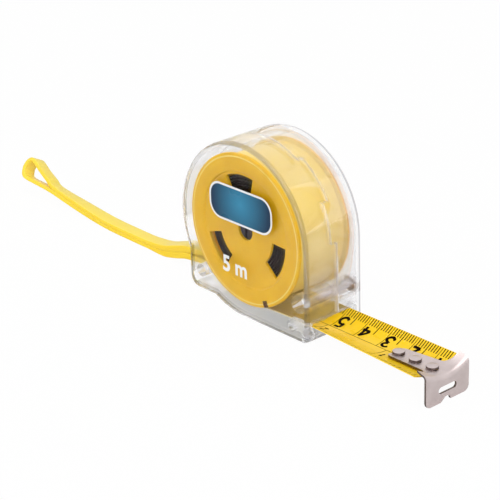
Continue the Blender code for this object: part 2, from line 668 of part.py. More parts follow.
# A flat strap that lies askew of the tape and leans over about its own middle line towards its eye.
def build_strap(soft):
    path = smooth_loop(strap_route(), 5)
    stations = strap_stations() + [(STRAP_REACH, STRAP_THICKNESS + STRAP_GAP / 2 + STRAP_EYE_RISE, 0)]
    rings = []
    for number, (s, z) in enumerate(path):
        along = path[(number + 1) % len(path)] - path[number - 1]
        along /= np.linalg.norm(along)
        middle = np.interp(s, [station[0] for station in stations], [station[1] for station in stations])
        share = min(max((s - STRAP_LEAN_START) / (STRAP_REACH - STRAP_LEAN_START), 0), 1)
        lean = STRAP_LEAN * share**2 * (3 - 2 * share)
        ring = []
        for side, end in ((1, -1), (1, 1), (-1, 1), (-1, -1)):
            back = s - side * along[1] * STRAP_THICKNESS / 2
            up = z + side * along[0] * STRAP_THICKNESS / 2 - middle
            across = end * STRAP_WIDTH / 2
            leant = across * math.cos(lean) + up * math.sin(lean), up * math.cos(lean) - across * math.sin(lean)
            ring.append((-back, leant[0] - max(back, 0) * math.tan(STRAP_YAW), middle + leant[1]))
        rings.append(ring)
    strap = loft("wrist_strap", rings, soft, closed=True)
    strap.location.x = in_stance(HEEL_BOSS_X, HEEL_BOSS_Z)[0]


# Tips the tape into its stance and brings the middle of its length, strap included, over the origin.
def set_in_stance():
    stance = bpy.data.objects.new("stance", None)
    bpy.context.scene.collection.objects.link(stance)
    pieces = [made for made in bpy.data.objects if made.type == "MESH"]
    for made in pieces:
        if made.name != "wrist_strap":
            made.parent = stance
    stance.rotation_euler.y = -stance_tilt()
    stance.location.z = in_stance(0, 0)[1]
    bpy.context.view_layer.update()
    shown = [made for made in pieces if not made.hide_render]
    reach = [(made.matrix_world @ Vector(corner)).x for made in shown for corner in made.bound_box]
    middle = (min(reach) + max(reach)) / 2
    stance.location.x = -middle
    bpy.data.objects["wrist_strap"].location.x -= middle


for old in list(bpy.data.objects):
    bpy.data.objects.remove(old)
TOOLS = bpy.data.collections.new("tools")
bpy.context.scene.collection.children.link(TOOLS)
CLEAR = material("clear_plastic", (0.86, 0.90, 0.92), 0.08, clear=1.0)
YELLOW = material("reel_plastic", (0.95, 0.72, 0.05), 0.35)
BLADE_YELLOW = material("blade_enamel", (0.98, 0.83, 0.08), 0.3)
NICKEL = material("nickel", (0.78, 0.77, 0.74), 0.25, metallic=1.0)
DARK = material("dark_steel", (0.10, 0.09, 0.08), 0.4, metallic=0.8)
SOFT = material("strap_vinyl", (0.95, 0.80, 0.10), 0.45)
build_case(CLEAR)
build_fasteners(NICKEL, DARK)
build_reel(YELLOW, YELLOW)
build_wound(BLADE_YELLOW, DARK)
build_blade(BLADE_YELLOW, NICKEL)
build_hook(NICKEL)
build_strap(SOFT)
set_in_stance()
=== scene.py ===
import math

import bmesh
import bpy
from mathutils import Matrix, Vector


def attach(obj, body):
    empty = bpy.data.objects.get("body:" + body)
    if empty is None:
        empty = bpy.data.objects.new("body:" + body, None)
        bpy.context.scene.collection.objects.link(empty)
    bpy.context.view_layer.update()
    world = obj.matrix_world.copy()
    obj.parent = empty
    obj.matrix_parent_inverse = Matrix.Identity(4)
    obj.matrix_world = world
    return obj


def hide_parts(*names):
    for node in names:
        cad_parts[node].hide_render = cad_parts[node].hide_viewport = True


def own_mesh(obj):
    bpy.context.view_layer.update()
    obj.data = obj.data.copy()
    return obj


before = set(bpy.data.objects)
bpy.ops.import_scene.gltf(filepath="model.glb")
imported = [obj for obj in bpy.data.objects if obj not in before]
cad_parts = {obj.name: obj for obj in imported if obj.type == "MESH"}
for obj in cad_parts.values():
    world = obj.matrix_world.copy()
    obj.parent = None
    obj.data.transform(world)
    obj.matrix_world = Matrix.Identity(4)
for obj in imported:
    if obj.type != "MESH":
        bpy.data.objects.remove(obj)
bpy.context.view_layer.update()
collection = bpy.context.scene.collection

# Everything on the tape is laid out in millimetres with the tape upright,
# then tipped to stand on heel and hook.
stance = {"tilt": 4.2281, "along": 23.193, "rise": 0.0795}
toRow = (
    Matrix.Scale(0.001, 4)
    @ Matrix.Translation((stance["along"], 0, stance["rise"]))
    @ Matrix.Rotation(math.radians(-stance["tilt"]), 4, "Y")
)

lookout = {"azimuth": 47.504, "elevation": 26.546, "distance": 0.620833, "right": 0.013527, "up": 0.007205,
           "roll": 1.255, "focal": 1858.0, "imageWidth": 500.0, "aim": -0.0076, "sensor": 36.0, "near": 0.02}


def setCamera():
    turn, rise, roll = (math.radians(lookout[key]) for key in ("azimuth", "elevation", "roll"))
    back = Vector((math.sin(turn) * math.cos(rise), -math.cos(turn) * math.cos(rise), math.sin(rise)))
    level = (-back).cross(Vector((0, 0, 1))).normalized()
    upright = level.cross(-back)
    right = level * math.cos(roll) + upright * math.sin(roll)
    up = upright * math.cos(roll) - level * math.sin(roll)
    data = bpy.data.cameras.new("camera")
    data.sensor_width = lookout["sensor"]
    data.lens = lookout["focal"] / lookout["imageWidth"] * data.sensor_width
    data.clip_start = lookout["near"]
    camera = bpy.data.objects.new("camera", data)
    place = Matrix((right, up, back)).transposed().to_4x4()
    place.translation = back * lookout["distance"] + right * lookout["right"] + up * lookout["up"]
    place.translation.x += lookout["aim"]
    camera.matrix_world = place
    collection.objects.link(camera)
    bpy.context.scene.camera = camera


setCamera()
bpy.context.scene.view_settings.view_transform = "Standard"
print("camera set")


# A node by type with its inputs set or linked by name.
def addNode(tree, kind, values=None, **settings):
    node = tree.nodes.new(kind)
    for key, value in settings.items():
        setattr(node, key, value)
    for key, value in (values or {}).items():
        socket = node.inputs[key]
        if isinstance(value, bpy.types.NodeSocket):
            tree.links.new(value, socket)
        else:
            socket.default_value = value
    return node


def mathNode(tree, operation, *values):
    return addNode(tree, "ShaderNodeMath", dict(enumerate(values)), operation=operation).outputs[0]


def noiseNode(tree, place, scale, detail):
    noise = addNode(tree, "ShaderNodeTexNoise", {"Vector": place, "Scale": scale, "Detail": detail})
    return noise.outputs["Fac"]


def colourRamp(tree, factor, stops):
    ramp = addNode(tree, "ShaderNodeValToRGB", {"Fac": factor})
    while len(ramp.color_ramp.elements) < len(stops):
        ramp.color_ramp.elements.new(0.5)
    for element, (place, colour) in zip(ramp.color_ramp.elements, stops):
        element.position = place
        element.color = (*colour, 1) if isinstance(colour, tuple) else (colour, colour, colour, 1)
    return ramp.outputs["Color"]


socketNames = {"ior": "IOR", "specular": "Specular IOR Level"}


def newFinish(name, **sockets):
    material = bpy.data.materials.new(name)
    material.use_nodes = True
    tree = material.node_tree
    shader = tree.nodes["Principled BSDF"]
    for key, value in sockets.items():
        words = "".join(" " + letter if letter.isupper() else letter for letter in key)
        shader.inputs[socketNames.get(key, words[0].upper() + words[1:])].default_value = value
    place = addNode(tree, "ShaderNodeTexCoord").outputs["Object"]
    return material, tree, shader, place


# Colour and roughness that drift over the surface, and a fine relief.
def drift(tree, shader, place, scale, colours, roughness, relief=0.0, reliefScale=0.0, depth=0.00002):
    noise = noiseNode(tree, place, scale, 4.0)
    tree.links.new(colourRamp(tree, noise, colours), shader.inputs["Base Color"])
    tree.links.new(colourRamp(tree, noise, roughness), shader.inputs["Roughness"])
    if relief:
        fine = noiseNode(tree, place, reliefScale, 3.0)
        bump = addNode(tree, "ShaderNodeBump", {"Height": fine, "Strength": relief, "Distance": depth})
        tree.links.new(bump.outputs["Normal"], shader.inputs["Normal"])


# each lamp has x, y, z, size and power
studio = {"floorSize": 6.0, "floorGrey": 0.86, "floorGlow": 0.97, "skyLight": 0.5, "aim": (0.02, 0, 0.03),
          "overhead": (0.25, -0.15, 0.95, 0.9, 4.6), "front": (1.0, -0.55, 0.45, 0.6, 2.9),
          "left": (-0.6, -0.9, 0.5, 0.8, 3.3),
          "room": [(0.0, 1.0), (0.35, (0.80, 0.80, 0.82)), (0.8, (0.42, 0.42, 0.45))]}


def setStudio():
    work = bmesh.new()
    bmesh.ops.create_grid(work, x_segments=1, y_segments=1, size=studio["floorSize"] / 2)
    mesh = bpy.data.meshes.new("floor")
    work.to_mesh(mesh)
    work.free()
    floor = bpy.data.objects.new("floor", mesh)
    collection.objects.link(floor)
    material = bpy.data.materials.new("paleFloor")
    material.use_nodes = True
    tree = material.node_tree
    tree.nodes.remove(tree.nodes["Principled BSDF"])
    grey = studio["floorGrey"]
    matt = addNode(tree, "ShaderNodeBsdfDiffuse", {"Color": (grey, grey, grey, 1)})
    glow = addNode(tree, "ShaderNodeEmission", {"Color": (1, 1, 1, 1), "Strength": 1.0})
    path = addNode(tree, "ShaderNodeLightPath")
    seen = mathNode(tree, "MAXIMUM", path.outputs["Is Camera Ray"], path.outputs["Is Transmission Ray"])
    share = mathNode(tree, "MULTIPLY", seen, studio["floorGlow"])
    mixed = addNode(tree, "ShaderNodeMixShader", {0: share, 1: matt.outputs[0], 2: glow.outputs[0]})
    tree.links.new(mixed.outputs[0], tree.nodes["Material Output"].inputs["Surface"])
    mesh.materials.append(material)

    world = bpy.data.worlds.new("studioWorld")
    world.use_nodes = True
    bpy.context.scene.world = world
    tree = world.node_tree
    background = tree.nodes["Background"]
    heading = addNode(tree, "ShaderNodeTexCoord").outputs["Generated"]
    parts = addNode(tree, "ShaderNodeSeparateXYZ", {"Vector": heading})
    # darker towards the photographer's side of the room, so that clear edges have something to show
    side = mathNode(tree, "MULTIPLY", parts.outputs["Y"], -1.0)
    room = colourRamp(tree, side, studio["room"])
    light = studio["skyLight"]
    colour = addNode(tree, "ShaderNodeMix", {0: seenRays(tree), 6: (light, light, light, 1), 7: room},
                     data_type="RGBA")
    tree.links.new(colour.outputs[2], background.inputs["Color"])
    background.inputs["Strength"].default_value = 1.0

    for name in ("overhead", "front", "left"):
        x, y, z, size, power = studio[name]
        data = bpy.data.lights.new(name, "AREA")
        data.size, data.energy = size, power
        lamp = bpy.data.objects.new(name, data)
        lamp.location = (x, y, z)
        lamp.rotation_euler = (Vector(studio["aim"]) - lamp.location).to_track_quat("-Z", "Y").to_euler()
        collection.objects.link(lamp)


# 1 for rays that show a background: from the camera, or by way of a gloss or a clear piece.
def seenRays(tree):
    path = addNode(tree, "ShaderNodeLightPath")
    bounced = mathNode(tree, "MAXIMUM", path.outputs["Is Glossy Ray"], path.outputs["Is Transmission Ray"])
    return mathNode(tree, "MAXIMUM", path.outputs["Is Camera Ray"], bounced)


setStudio()
print("studio set")


clearLook = {"ior": 1.49, "scale": 90.0, "lighter": 1.03, "frontReach": 0.055,
             "lampTint": (0.95, 0.955, 0.965, 1)}


# The tint is what a ray keeps on its way through, and a darker tint is painted shade on the clear plastic;
# haze is the share that scatters.
# With a front shade the colour runs over to that darker one towards the front of the tape, a painted shade
# that deepens there.
def clearPlastic(name, tint, alpha, haze=0.0, frontShade=None):
    material, tree, shader, place = newFinish(name, transmissionWeight=1.0 - haze, ior=clearLook["ior"],
                                              alpha=alpha)
    high = tuple(min(1.0, clearLook["lighter"] * part) for part in tint)
    drift(tree, shader, place, clearLook["scale"], [(0.3, tint), (0.7, high)], [(0.3, 0.0), (0.75, 0.02)],
          0.02, 60.0, 0.0002)
    if frontShade:
        along = addNode(tree, "ShaderNodeSeparateXYZ", {"Vector": place}).outputs["X"]
        share = addNode(tree, "ShaderNodeMapRange", {0: along, 1: 0.0, 2: clearLook["frontReach"]}).outputs[0]
        tree.links.new(colourRamp(tree, share, [(0.0, tint), (1.0, frontShade)]), shader.inputs["Base Color"])
    # light from the lamps passes, so that the reel inside is lit
    lamp = addNode(tree, "ShaderNodeLightPath").outputs["Is Shadow Ray"]
    clear = addNode(tree, "ShaderNodeBsdfTransparent", {"Color": clearLook["lampTint"]})
    mixed = addNode(tree, "ShaderNodeMixShader", {0: lamp, 1: shader.outputs[0], 2: clear.outputs[0]})
    tree.links.new(mixed.outputs[0], tree.nodes["Material Output"].inputs["Surface"])
    return material


# A finish whose colour drifts from low to high between two stops.
def driftFinish(name, low, high, scale, roughness, relief=0.0, reliefScale=0.0, stops=(0.3, 0.7), **sockets):
    material, tree, shader, place = newFinish(name, **sockets)
    drift(tree, shader, place, scale, list(zip(stops, (low, high))), roughness, relief, reliefScale)
    return material


def mouldedYellow(name, low, high):
    return driftFinish(name, low, high, 140.0, [(0.3, 0.28), (0.7, 0.40)], 0.12, 900.0, specular=0.2)


def enamelYellow(name, low, high, gloss=1.0):
    return driftFinish(name, low, high, 120.0, [(0.3, 0.25), (0.7, 0.36)], 0.06, 1400.0,
                       coatWeight=0.25 * gloss, coatRoughness=0.15, specular=0.5 * gloss)


def satinNickel(name, low, high):
    return driftFinish(name, low, high, 260.0, [(0.3, 0.32), (0.7, 0.42)], 0.05, 2600.0, metallic=1.0)


def softVinyl(name, low, high):
    return driftFinish(name, low, high, 60.0, [(0.3, 0.32), (0.7, 0.42)], 0.03, 500.0, subsurfaceWeight=0.15,
                       subsurfaceScale=0.002, subsurfaceRadius=(1.0, 0.7, 0.15))


printLook = {"glow": (0.4, -12.4, 38.6), "fade": 70.0, "grain": 0.12, "scale": 90.0,
             "inks": [(0.05, (0.035, 0.25, 0.42)), (1.0, (0.004, 0.030, 0.075))]}


# Blue print that is lighter near the middle of its label.
def labelBluePrint():
    material, tree, shader, place = newFinish("labelBlue", specular=0.2)
    glow = toRow @ Vector(printLook["glow"])
    away = addNode(tree, "ShaderNodeVectorMath", {0: place, 1: glow}, operation="DISTANCE").outputs["Value"]
    noise = noiseNode(tree, place, printLook["scale"], 3.0)
    share = mathNode(tree, "MULTIPLY", away, printLook["fade"])
    mixed = mathNode(tree, "MULTIPLY_ADD", noise, printLook["grain"], share)
    tree.links.new(colourRamp(tree, mixed, printLook["inks"]), shader.inputs["Base Color"])
    tree.links.new(colourRamp(tree, noise, [(0.3, 0.25), (0.7, 0.35)]), shader.inputs["Roughness"])
    return material


# the clear finishes, by the part of the case that each is for: copies of one clear plastic whose tints paint
# shade onto the walls, edges, far rim, base (most at the front), foot, underside and far back wall
caseFinishes = {
    "plate": clearPlastic("clearFace", (0.955, 0.96, 0.975), 0.04),
    "wall": clearPlastic("clearWallShade", (0.86, 0.86, 0.89), 0.35, haze=0.04),
    "edge": clearPlastic("clearEdgeShade", (0.36, 0.36, 0.40), 0.9),
    "base": clearPlastic("clearBaseShade", (0.56, 0.57, 0.59), 0.85, frontShade=(0.30, 0.31, 0.32)),
    "seam": clearPlastic("clearSeam", (0.96, 0.93, 0.93), 0.85, haze=0.3),
    "farRim": clearPlastic("clearFar", (0.30, 0.30, 0.33), 0.85),
    "back": clearPlastic("clearBack", (0.94, 0.94, 0.97), 0.6),
    "foot": clearPlastic("clearFootShade", (0.40, 0.40, 0.40), 0.6),
    "under": clearPlastic("clearUnderShade", (0.50, 0.51, 0.53), 0.6),
    "farBack": clearPlastic("clearShade", (0.78, 0.78, 0.81), 0.6),
}
coverYellow = mouldedYellow("coverYellow", (0.75, 0.42, 0.004), (0.84, 0.50, 0.008))
coverBeadHighlight = enamelYellow("coverBeadHighlight", (0.90, 0.66, 0.10), (0.94, 0.72, 0.16))
coverNotchShade = mouldedYellow("coverNotchShade", (0.05, 0.018, 0.006), (0.09, 0.03, 0.010))
drumYellow = mouldedYellow("drumYellow", (0.80, 0.34, 0.010), (0.86, 0.40, 0.016))
bladeYellow = enamelYellow("bladeYellow", (0.93, 0.60, 0.012), (0.97, 0.65, 0.020), 0.4)
bladeInsideShade = enamelYellow("bladeInsideShade", (0.60, 0.47, 0.14), (0.66, 0.53, 0.18))
coilYellow = enamelYellow("coilYellow", (0.80, 0.55, 0.07), (0.86, 0.62, 0.11))
nickel = satinNickel("satinNickel", (0.59, 0.505, 0.495), (0.66, 0.575, 0.565))
nickelEdgeShade = satinNickel("nickelEdgeShade", (0.13, 0.10, 0.09), (0.19, 0.15, 0.14))
steel = driftFinish("darkSteel", (0.016, 0.010, 0.012), (0.040, 0.026, 0.026), 300.0,
                    [(0.3, 0.38), (0.7, 0.52)], 0.1, 1500.0, metallic=0.85)
strapVinylSheen = softVinyl("strapVinylSheen", (0.96, 0.72, 0.075), (0.99, 0.78, 0.12))
strapCut = softVinyl("strapCut", (0.98, 0.66, 0.012), (1.0, 0.72, 0.03))
ink = driftFinish("scaleInk", (0.006, 0.004, 0.003), (0.022, 0.014, 0.008), 900.0,
                  [(0.3, 0.45), (0.7, 0.6)], stops=(0.3, 0.8), specular=0.0)
labelBlue = labelBluePrint()
labelWhite = driftFinish("labelWhite", (0.80, 0.81, 0.82), (0.88, 0.88, 0.88), 60.0,
                         [(0.3, 0.25), (0.7, 0.35)], 0.05, 800.0, stops=(0.35, 0.65), specular=0.2)
print("finishes made")


# Turns a worked shape in the tape's own millimetres into a piece of the object.
def placePiece(name, work, body, finishes, sharpAngle=32.0, onTape=True):
    if onTape:
        work.transform(toRow)
    mesh = bpy.data.meshes.new(name)
    work.to_mesh(mesh)
    work.free()
    custom = mesh.attributes.get("custom_normal")
    if custom:
        mesh.attributes.remove(custom)
    mesh.shade_smooth()
    mesh.set_sharp_from_angle(angle=math.radians(sharpAngle))
    while mesh.materials:
        mesh.materials.pop()
    for finish in finishes:
        mesh.materials.append(finish)
    piece = bpy.data.objects.new(name, mesh)
    collection.objects.link(piece)
    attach(piece, body)
    return piece


def addBevel(piece, width, angle=35.0):
    bevel = piece.modifiers.new("edges", "BEVEL")
    bevel.width, bevel.segments, bevel.profile = width, 2, 0.5
    bevel.limit_method, bevel.angle_limit = "ANGLE", math.radians(angle)


def evenNormals(piece):
    even = piece.modifiers.new("evenNormals", "WEIGHTED_NORMAL")
    even.keep_sharp, even.weight = True, 60


def faceOut(work):
    bmesh.ops.recalc_face_normals(work, faces=work.faces)


# A merged copy of a solid of the frame, in one skin; flat runs of triangles can be joined to single faces.
def solidCopy(nodeName, joinFlats=False):
    work = bmesh.new()
    work.from_mesh(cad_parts[nodeName].data)
    bmesh.ops.remove_doubles(work, verts=work.verts, dist=1e-6)
    for face in work.faces:
        face.material_index = 0
    if joinFlats:
        bmesh.ops.dissolve_limit(work, angle_limit=math.radians(0.6), use_dissolve_boundaries=False,
                                 verts=work.verts, edges=work.edges)
    return work


# A line of points turned all the way round an axis.
def spinLine(line, axis, steps, closed):
    work = bmesh.new()
    points = [work.verts.new(spot) for spot in line]
    following = points[1:] + points[:1] if closed else points[1:]
    edges = [work.edges.new(pair) for pair in zip(points, following)]
    bmesh.ops.spin(work, geom=points + edges, cent=(0, 0, 0), axis=axis, dvec=(0, 0, 0), angle=2 * math.pi,
                   steps=steps, use_merge=True, use_normal_flip=False, use_duplicate=False)
    bmesh.ops.remove_doubles(work, verts=work.verts, dist=1e-4)
    faceOut(work)
    return work


# Closed profile of (radius, y) points turned about the reel's axis.
def spinAboutReel(profile, steps, firstAngle=0.0):
    work = spinLine([(radius, y, 0) for radius, y in profile], (0, 1, 0), steps, closed=True)
    turn = Matrix.Rotation(math.radians(-firstAngle), 3, "Y")
    bmesh.ops.rotate(work, verts=work.verts, cent=(0, 0, 0), matrix=turn)
    return work


# Share of the way along a run, held at 0 and 1; a negative run falls back from its start.
def rampShare(value, start, run):
    return min(max((value - start) / run, 0), 1)


def evenly(first, last, count):
    return [first + (last - first) * step / count for step in range(count + 1)]


reelAxis = 29.2


def liftToReel(work):
    bmesh.ops.translate(work, verts=work.verts, vec=(0, 0, reelAxis))
    return work


caseLook = {"sharpAngle": 34.0, "plate": 10.0, "wallRadius": 26.5, "wallFront": 27.0, "frontLow": 2.0,
            "wallStart": -30.0, "wallEnd": 90.5, "baseHigh": 4.2, "seam": 3.0, "footBack": 15.0,
            "footHigh": 8.0, "half": 12.4, "edge": 1.8, "keep": 0.3, "rim": 11.3, "rimHigh": 9.0,
            "rimNear": 0.3, "radius": 29.2, "heel": 3.4, "heelTurn": (-21.7, 7.9), "heelRound": 4.5,
            "heelEnd": -12.8}
# limits for the direction of a face: sideways, up or down, forwards, and sideways in the round wall
caseFacing = {"side": 0.9, "level": 0.7, "front": 0.95, "wall": 0.2}


# The part of the clear shell that a face belongs to.
def caseZone(face):
    spot = toRow.inverted() @ face.calc_center_median()
    away = (toRow.inverted().to_3x3() @ face.normal).normalized()
    if abs(away.y) > caseFacing["side"]:
        if abs(spot.y) > caseLook["plate"]:
            return "plate"
        foot = spot.x > caseLook["footBack"] and spot.z < caseLook["footHigh"]
        return "seam" if abs(spot.y) < caseLook["seam"] else "foot" if foot else "edge"
    lowFront = spot.x > caseLook["wallFront"] and spot.z < caseLook["frontLow"]
    corner = spot.y < -caseLook["plate"] or lowFront
    if spot.z < caseLook["baseHigh"] and (abs(away.z) > caseFacing["level"] or corner):
        return "under" if away.z < -caseFacing["level"] and spot.y > -caseLook["plate"] else "base"
    turn = math.degrees(math.atan2(spot.z - reelAxis, spot.x))
    outer = math.hypot(spot.x, spot.z - reelAxis) > caseLook["wallRadius"]
    front = spot.x > caseLook["wallFront"] and abs(away.x) > caseFacing["front"]
    if abs(away.y) < caseFacing["wall"] and (outer or front):
        if front or caseLook["wallStart"] < turn < caseLook["wallEnd"]:
            return "wall"
        return "back" if spot.y < 0 else "farBack"
    return "farRim" if spot.y > caseLook["plate"] and abs(away.y) > caseFacing["wall"] else "edge"


# The round edge of both side plates is tighter along the bottom than around the top.
def tightenBase(work):
    work.transform(toRow.inverted())
    edge, turn = caseLook["edge"], caseLook["heelTurn"]
    for vert in work.verts:
        x, y, z = vert.co
        if abs(y) < caseLook["rim"] or z > caseLook["rimHigh"]:
            continue
        inset = edge * (1 - math.sqrt(max(1 - (1 - (caseLook["half"] - abs(y)) / edge)**2, 0)))
        if x >= 0:
            deep, way = z, Vector((0, 0, -1))
        elif x > caseLook["heelEnd"]:
            way = Vector((x, 0, z - reelAxis))
            deep = caseLook["radius"] - way.length
        elif x > turn[0]:
            deep, way = z - caseLook["heel"], Vector((0, 0, -1))
        else:
            way = Vector((x - turn[0], 0, z - turn[1]))
            deep = caseLook["heelRound"] - way.length
        way.normalize()
        if abs(deep - inset) < caseLook["rimNear"]:
            vert.co += way * inset * (1 - caseLook["keep"]) * max(-way.z, 0)
    work.transform(toRow)


def makeCase():
    zones = list(caseFinishes)
    for node, name in (("case_near", "caseNear"), ("case_far", "caseFar")):
        work = solidCopy(node, joinFlats=True)
        for face in work.faces:
            face.material_index = zones.index(caseZone(face))
        tightenBase(work)
        piece = placePiece(name, work, "case", list(caseFinishes.values()),
                           caseLook["sharpAngle"], onTape=False)
        evenNormals(piece)
        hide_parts(node)


makeCase()
print("case made")

reelLook = {"radius": 25.4, "face": 10.8, "inside": 9.85, "hub": 3.3, "recess": 0.5, "recessRadius": 19.2,
            "rimRound": 0.35, "windowIn": 12.2, "windowOut": 18.4, "windowHalf": 20.0, "firstWindow": 97.0,
            "windows": 3, "steps": 144, "notch": -68.4, "notchHalf": 2.6, "notchIn": 23.1, "bead": 24.3,
            "beadHalf": 0.2, "beadHigh": 0.1, "drumRadius": 19.8, "drumWall": 1.1, "drumRound": 0.5,
            "drumGap": 0.3, "sharpAngle": 28.0, "bevel": 0.00012}


def makeReelCover():
    face, inside, recess, rim = (reelLook[key] for key in ("face", "inside", "recess", "rimRound"))
    low, radius, lip, hub = face - recess, reelLook["radius"], reelLook["recessRadius"], reelLook["hub"]
    windowIn, windowOut = reelLook["windowIn"], reelLook["windowOut"]
    bead, beadHalf, beadTop = reelLook["bead"], reelLook["beadHalf"], -face - reelLook["beadHigh"]
    outside = [(hub, -low), (windowIn, -low), (windowOut, -low), (lip, -low), (lip + 0.15, -low - 0.1),
               (lip + 0.45, -face + 0.06), (lip + 0.65, -face), (reelLook["notchIn"], -face),
               (bead - beadHalf, -face), (bead - beadHalf / 2, beadTop), (bead + beadHalf / 2, beadTop),
               (bead + beadHalf, -face), (radius - rim, -face),
               (radius - 0.3 * rim, -face + 0.3 * rim), (radius, -face + rim)]
    back = [(radius, -inside), (lip + 0.9, -inside), (lip, -inside + recess), (windowOut, -inside + recess),
            (windowIn, -inside + recess), (hub, -inside + recess)]
    work = spinAboutReel(outside + back, reelLook["steps"], reelLook["firstWindow"])
    openings = []
    for number in range(reelLook["windows"]):
        middle = math.radians(reelLook["firstWindow"] + 360.0 / reelLook["windows"] * number)
        gone = []
        for panel in work.faces:
            centre = panel.calc_center_median()
            away = math.remainder(math.atan2(centre.z, centre.x) - middle, 2 * math.pi)
            inRing = windowIn < math.hypot(centre.x, centre.z) < windowOut
            if inRing and abs(away) < math.radians(reelLook["windowHalf"]):
                gone.append(panel)
        openings.append(gone)
    for gone in openings:
        before = {edge for edge in work.edges if edge.is_boundary}
        bmesh.ops.delete(work, geom=gone, context="FACES")
        rims = [edge for edge in work.edges if edge.is_boundary and edge not in before]
        bmesh.ops.bridge_loops(work, edges=rims)
    faceOut(work)
    for panel in work.faces:
        centre = panel.calc_center_median()
        out, turn = math.hypot(centre.x, centre.z), math.degrees(math.atan2(centre.z, centre.x))
        if out > reelLook["notchIn"] and abs(turn - reelLook["notch"]) < reelLook["notchHalf"]:
            panel.material_index = 2  # painted shade: near-black faces stand for a shaded moulding notch in the rim; nothing is cut
        # painted highlight: the bead's faces take a lighter yellow for the highlight along the rim, with a
        # glossier coat as well
        elif abs(out - bead) < beadHalf and centre.y < -face:
            panel.material_index = 1
    piece = placePiece("reelCover", liftToReel(work), "reel",
                       [coverYellow, coverBeadHighlight, coverNotchShade], reelLook["sharpAngle"])
    addBevel(piece, reelLook["bevel"])
    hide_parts("reel_cover")


def makeReelDrum():
    face, inside, radius, rim, hub = (reelLook[key] for key in ("face", "inside", "radius", "rimRound", "hub"))
    drum, soft = reelLook["drumRadius"], reelLook["drumRound"]
    bore, end = drum - reelLook["drumWall"], -inside + reelLook["recess"] + reelLook["drumGap"]
    profile = [(hub, face), (radius - rim, face), (radius - 0.3 * rim, face - 0.3 * rim), (radius, face - rim),
               (radius, inside), (drum + soft, inside), (drum, inside - soft), (drum, end), (bore, end),
               (bore, inside), (hub, inside)]
    work = spinAboutReel(profile, reelLook["steps"])
    for panel in work.faces:
        panel.material_index = 1 if panel.normal.y < -0.5 else 0  # the sides that look towards the cover
    piece = placePiece("reelDrum", liftToReel(work), "reel", [drumYellow, coilYellow],
                       reelLook["sharpAngle"])
    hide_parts("reel_drum")


# A ribbon on edge that winds outwards step by step about the reel's axis.
def windRibbon(look):
    work = bmesh.new()
    inner, outer, turns = look["inner"], look["outer"], look["turns"]
    steps = round(turns * look["stepsPerTurn"])

    def spot(step):
        share = step / steps
        radius = inner + (outer - inner) * share
        angle = math.radians(look["endAngle"]) - 2 * math.pi * turns * (1 - share)
        return Vector((radius * math.cos(angle), 0, radius * math.sin(angle)))

    ends = [work.verts.new(spot(0) + Vector((0, y, 0))) for y in (look["low"], look["high"])]
    edge = work.edges.new(ends)
    for step in range(steps):
        made = bmesh.ops.extrude_edge_only(work, edges=[edge])["geom"]
        edge = next(item for item in made if isinstance(item, bmesh.types.BMEdge))
        bmesh.ops.translate(work, verts=list(edge.verts), vec=spot(step + 1) - spot(step))
    faceOut(work)
    bmesh.ops.solidify(work, geom=work.faces[:], thickness=look["thickness"])
    faceOut(work)
    return work


coreLook = {"inner": 20.1, "outer": 22.35, "half": 9.5}
wrapLook = {"inner": 22.6, "outer": 24.3, "turns": 3.5, "endAngle": -90.0, "stepsPerTurn": 120,
            "low": -9.5, "high": 9.5, "thickness": 0.18}
springLook = {"inner": 4.2, "outer": 18.0, "turns": 15, "endAngle": 250.0, "stepsPerTurn": 48,
              "low": -8.7, "high": 9.2, "thickness": 0.3}


def makeCoil():
    inner, outer, half = (coreLook[key] for key in ("inner", "outer", "half"))
    core = spinAboutReel([(inner, -half), (outer, -half), (outer, half), (inner, half)], reelLook["steps"])
    for node, name, work, slotName, finish in (
            ("blade_core", "bladeCore", core, "blade_enamel", coilYellow),
            ("blade_wrap", "bladeWrap", windRibbon(wrapLook), "blade_enamel", coilYellow),
            ("power_spring", "powerSpring", windRibbon(springLook), "dark_steel", steel)):
        piece = placePiece(name, liftToReel(work), "reel", [finish])
        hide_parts(node)


makeReelCover()
makeReelDrum()
makeCoil()
print("reel, coil and spring made")


def makeFasteners():
    for node, name, slotName, finish in (("spindle", "spindlePost", "dark_steel", steel),
                                         ("screw_centre", "screwCentre", "nickel", nickel),
                                         ("screw_front", "screwFront", "nickel", nickel),
                                         ("screw_heel", "screwHeel", "nickel", nickel)):
        piece = placePiece(name, solidCopy(node), "case", [finish], 40.0, onTape=False)
        evenNormals(piece)
        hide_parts(node)


makeFasteners()
print("fasteners made")

bladeLook = {"width": 19.0, "thickness": 0.3, "sag": 3.2, "endSag": 1.9, "low": 1.45, "mouth": 29.2,
             "end": 72.0, "split": 50.6, "tail": 7.0, "tailSag": 1.5, "flatten": 13.0,
             "tailEnd": [(4.2, 3.75, 0.75), (5.6, 3.43, 1.15)], "across": 24, "dull": 22.8, "dullBow": 0.045,
             "gathered": 0.02, "frontSteps": 8, "flattenSteps": 8, "insideSteps": 18, "outsideSteps": 12,
             "sharpAngle": 40.0}


def bladeHalf(sag):
    return (bladeLook["width"] - 8 * sag**2 / (3 * bladeLook["width"])) / 2


# Depth of the blade's curve at x; outside the mouth its near half flattens to its end.
def bladeBend(x, side):
    share = rampShare(x, bladeLook["mouth"], bladeLook["end"] - bladeLook["mouth"]) if side < 0 else 0
    return bladeLook["sag"] + (bladeLook["endSag"] - bladeLook["sag"]) * share


# Height of the blade's upper face.
def bladeTop(x, y):
    sag = bladeBend(x, y)
    return bladeLook["low"] + bladeLook["thickness"] + sag * (y / bladeHalf(sag))**2


